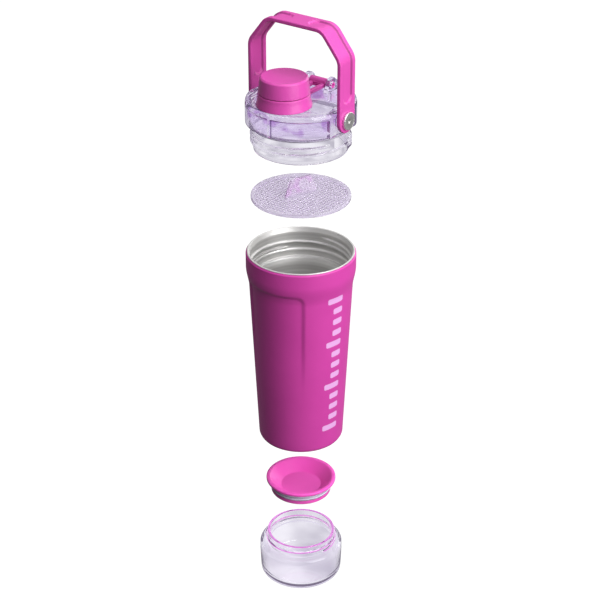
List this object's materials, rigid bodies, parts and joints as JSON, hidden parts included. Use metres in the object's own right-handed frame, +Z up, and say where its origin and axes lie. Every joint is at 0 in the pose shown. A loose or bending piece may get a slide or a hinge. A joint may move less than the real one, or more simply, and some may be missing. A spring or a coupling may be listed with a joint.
{
  "type": "insulated shaker bottle",
  "caption": "Insulated steel shaker cup with a clear screw lid, swinging carry handle, tethered spout cap, mixing grid and screw-on powder jar, laid out in assembly order.",
  "frame": {"origin": "on the bottle's axis, at the underside of the jar", "axes": "+Z up along the bottle's axis; the handle turns about X, the spout is on the -Y side and the cap's hinge on the +Y side"},
  "size_m": [0.0974, 0.095, 0.5421],
  "materials": {
    "coated_steel": "satin magenta powder coat",
    "pink_plastic": "satin moulded magenta plastic",
    "bare_steel": "brushed stainless steel",
    "screw_steel": "turned and polished stainless steel",
    "clear_plastic": "clear plastic with a light violet tint",
    "pale_silicone": "pale translucent silicone",
    "white_nylon": "plain nylon"
  },
  "bodies": {
    "cup": {"outer_shell": "coated_steel", "inner_liner": "bare_steel", "base_plate": "bare_steel", "vacuum_getter": "bare_steel", "base_socket": "pink_plastic"},
    "grid": {"mixing_grid": "clear_plastic"},
    "lid": {"lid_body": "clear_plastic", "lid_gasket": "pale_silicone", "hinge_pin": "pink_plastic", "handle_screw_right": "screw_steel", "handle_screw_left": "screw_steel", "pivot_bush_right": "white_nylon", "pivot_bush_left": "white_nylon", "screw_insert_right": "bare_steel", "screw_insert_left": "bare_steel"},
    "handle": {"handle": "pink_plastic"},
    "tether": {"cap_tether": "pink_plastic"},
    "cap": {"spout_cap": "pink_plastic", "spout_cap_gasket": "pale_silicone"},
    "stopper": {"jar_stopper": "pink_plastic", "stopper_seal": "pale_silicone"},
    "jar": {"jar": "clear_plastic"}
  },
  "joints": [
    {"name": "grid_slide", "type": "slide", "parent": "cup", "child": "grid", "axis": [0, 0, 1], "range_m": [-0.0764, 0]},
    {"name": "lid_slide", "type": "slide", "parent": "grid", "child": "lid", "axis": [0, 0, 1], "range_m": [-0.0426, 0]},
    {"name": "handle_swing", "type": "hinge", "parent": "lid", "child": "handle", "pos_m": [0, 0, 0.4661], "axis": [1, 0, 0], "range_deg": [-90, 90]},
    {"name": "cap_swing", "type": "hinge", "parent": "lid", "child": "tether", "pos_m": [0, 0.027, 0.4805], "axis": [-1, 0, 0], "range_deg": [0, 38]},
    {"name": "cap_turn", "type": "hinge", "parent": "tether", "child": "cap", "pos_m": [0, -0.023, 0.4873], "axis": [0, 0, 1], "continuous": true},
    {"name": "stopper_slide", "type": "slide", "parent": "cup", "child": "stopper", "axis": [0, 0, -1], "range_m": [-0.0631, 0]},
    {"name": "jar_slide", "type": "slide", "parent": "stopper", "child": "jar", "axis": [0, 0, -1], "range_m": [-0.0566, 0]}
  ]
}
